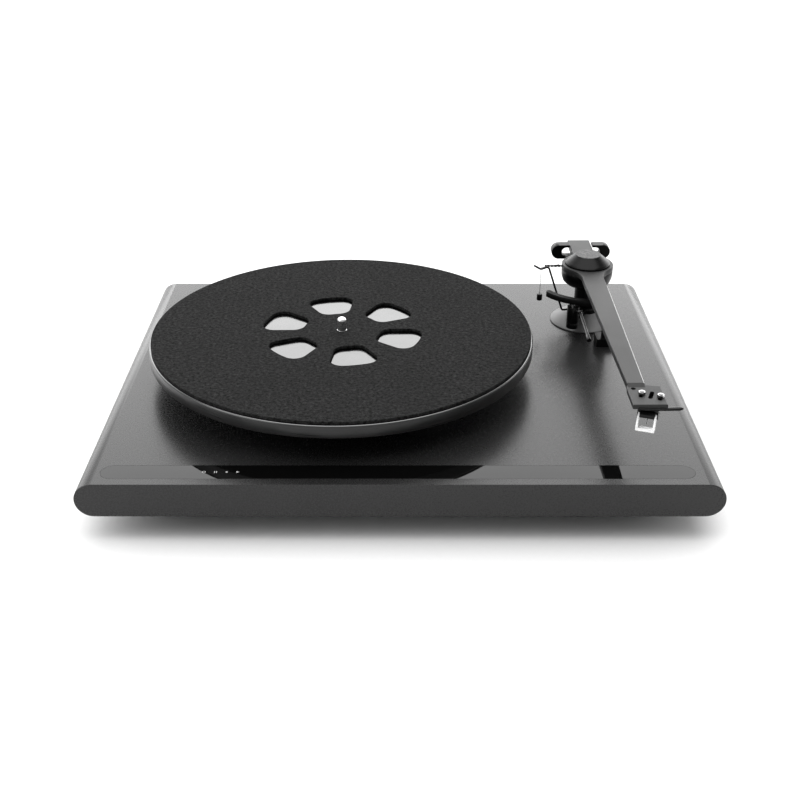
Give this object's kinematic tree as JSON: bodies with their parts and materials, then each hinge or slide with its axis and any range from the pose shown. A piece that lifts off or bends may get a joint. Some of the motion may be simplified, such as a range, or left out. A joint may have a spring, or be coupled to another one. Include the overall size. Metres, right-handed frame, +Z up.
{
  "type": "turntable record player",
  "caption": "Record player: slab plinth with rounded sides, belt-driven glass platter with windowed felt mat, straight tonearm with cartridge, cue lift and anti-skate weight.",
  "frame": {"origin": "on the standing surface, under the middle of the plinth", "axes": "+X to the tonearm's side, +Y to the connectors at the rear, +Z up"},
  "size_m": [0.44, 0.346, 0.106],
  "materials": {
    "plinth_lacquer": "satin dark grey, fine even texture",
    "cover_steel": "matte black powder coat",
    "foot_plastic": "matte",
    "foot_rubber": "matte",
    "screw_steel": "zinc plated",
    "strip_glass": "glossy black",
    "circuit_board": "green solder mask",
    "spacer_nylon": "matte",
    "bearing_steel": "turned",
    "bush_bronze": "sintered",
    "spindle_steel": "polished",
    "sub_platter_plastic": "matte",
    "platter_glass": "satin dark rim, polished top",
    "mat_felt": "pressed felt",
    "motor_metal": "satin",
    "motor_plate_steel": "zinc plated",
    "grommet_rubber": "matte",
    "pulley_alloy": "turned",
    "belt_rubber": "matte",
    "panel_black": "matte black",
    "connector_gold": "gold plated",
    "connector_insulator": "gloss",
    "connector_black": "gloss",
    "base_silver": "satin bead blasted",
    "arm_black": "satin black",
    "arm_grey": "satin grey",
    "dome_grey": "turned satin grey",
    "rest_plastic": "satin",
    "cradle_rubber": "matte, ribbed",
    "lever_chrome": "polished",
    "weight_black": "satin black",
    "wire_black": "satin black",
    "thread_nylon": "thin monofilament",
    "cartridge_plastic": "satin black",
    "nut_steel": "polished",
    "stylus_plastic": "satin dark grey",
    "guard_clear": "translucent white",
    "lead_insulation": "soft"
  },
  "bodies": {
    "plinth": {"plinth": "plinth_lacquer", "bottom_cover": "cover_steel", "feet": "foot_plastic", "foot_pads": "foot_rubber", "case_screws": "screw_steel", "control_strip": "strip_glass", "circuit_boards": "circuit_board", "board_spacers": "spacer_nylon", "bearing_housing": "bearing_steel", "bearing_bush": "bush_bronze", "thrust_ball": "bearing_steel", "motor_plate": "motor_plate_steel", "motor_can": "motor_metal", "motor_grommets": "grommet_rubber", "drive_belt": "belt_rubber", "rear_panel": "panel_black", "rca_sleeves": "connector_gold", "rca_insulators": "connector_insulator", "ground_post": "connector_gold", "power_socket": "connector_black", "switch_body": "connector_black", "arm_base": "base_silver", "arm_column": "arm_black", "arm_base_nut": "screw_steel", "arm_rest": "rest_plastic", "lift_bracket": "arm_black", "lift_cylinder": "arm_black", "skate_hanger": "wire_black", "thread_run": "thread_nylon"},
    "platter": {"platter": "platter_glass", "mat": "mat_felt", "sub_platter": "sub_platter_plastic", "spindle_shaft": "spindle_steel"},
    "pulley": {"motor_pulley": "pulley_alloy", "motor_shaft": "bearing_steel"},
    "bearing_yoke": {"bearing_yoke": "bearing_steel"},
    "tonearm": {"armtube": "arm_grey", "headshell": "arm_grey", "finger_lift": "arm_black", "arm_dome": "dome_grey", "bearing_bell": "arm_black", "bearing_pins": "bearing_steel", "skate_rod": "wire_black", "cartridge": "cartridge_plastic", "cartridge_pins": "connector_gold", "cartridge_screws": "nut_steel", "cartridge_nuts": "nut_steel", "stylus_block": "stylus_plastic", "cantilever": "bearing_steel", "head_leads": "lead_insulation"},
    "counterweight": {"counterweight": "weight_black", "counterweight_clamp": "weight_black"},
    "stylus_guard": {"stylus_guard": "guard_clear"},
    "cue_lever": {"cue_lever": "lever_chrome"},
    "arm_lift": {"lift_cradle": "cradle_rubber", "lift_rod": "bearing_steel"},
    "skate_weight": {"skate_weight": "wire_black", "thread_drop": "thread_nylon"},
    "ground_nut": {"ground_nut": "connector_gold"},
    "output_switch": {"switch_knob": "connector_black"}
  },
  "joints": [
    {"name": "platter_spin", "type": "hinge", "parent": "plinth", "child": "platter", "pos_m": [-0.0457, 0.005, 0.055], "axis": [0, 0, 1], "continuous": true},
    {"name": "pulley_spin", "type": "hinge", "parent": "plinth", "child": "pulley", "pos_m": [-0.127, 0.0863, 0.055], "axis": [0, 0, 1], "continuous": true},
    {"name": "arm_swing", "type": "hinge", "parent": "plinth", "child": "bearing_yoke", "pos_m": [0.1586, 0.093, 0.0874], "axis": [0, 0, 1], "range_deg": [-56, 0], "deforming": ["thread_run"]},
    {"name": "arm_pitch", "type": "hinge", "parent": "bearing_yoke", "child": "tonearm", "pos_m": [0.1586, 0.093, 0.0884], "axis": [-0.9999, -0.0105, 0], "range_deg": [0, 12]},
    {"name": "counterweight_slide", "type": "slide", "parent": "tonearm", "child": "counterweight", "axis": [-0.0105, 0.9999, 0], "range_m": [-0.006, 0.008]},
    {"name": "guard_slide", "type": "slide", "parent": "tonearm", "child": "stylus_guard", "axis": [-0.3322, -0.9432, 0], "range_m": [0, 0.012]},
    {"name": "cue_lever_turn", "type": "hinge", "parent": "plinth", "child": "cue_lever", "pos_m": [0.14216, 0.0523, 0.0719], "axis": [-0.9272, 0.3746, 0], "range_deg": [0, 30]},
    {"name": "lift_slide", "type": "slide", "parent": "plinth", "child": "arm_lift", "axis": [0, 0, 1], "range_m": [0, 0.0039]},
    {"name": "skate_weight_rise", "type": "slide", "parent": "plinth", "child": "skate_weight", "axis": [0, 0, 1], "range_m": [0, 0.02], "deforming": ["thread_drop"]},
    {"name": "ground_nut_turn", "type": "hinge", "parent": "plinth", "child": "ground_nut", "pos_m": [0.114, 0.167, 0.0327], "axis": [0, 1, 0], "range_deg": [0, 1440]},
    {"name": "output_switch_slide", "type": "slide", "parent": "plinth", "child": "output_switch", "axis": [1, 0, 0], "range_m": [0, 0.003]}
  ],
  "couplings": [
    {"joint": "pulley_spin", "follows": "platter_spin", "ratio": 7.4076},
    {"joint": "cue_lever_turn", "follows": "lift_slide", "rad_per_m": 134.25},
    {"joint": "skate_weight_rise", "follows": "arm_swing", "m_per_rad": -0.02046}
  ]
}
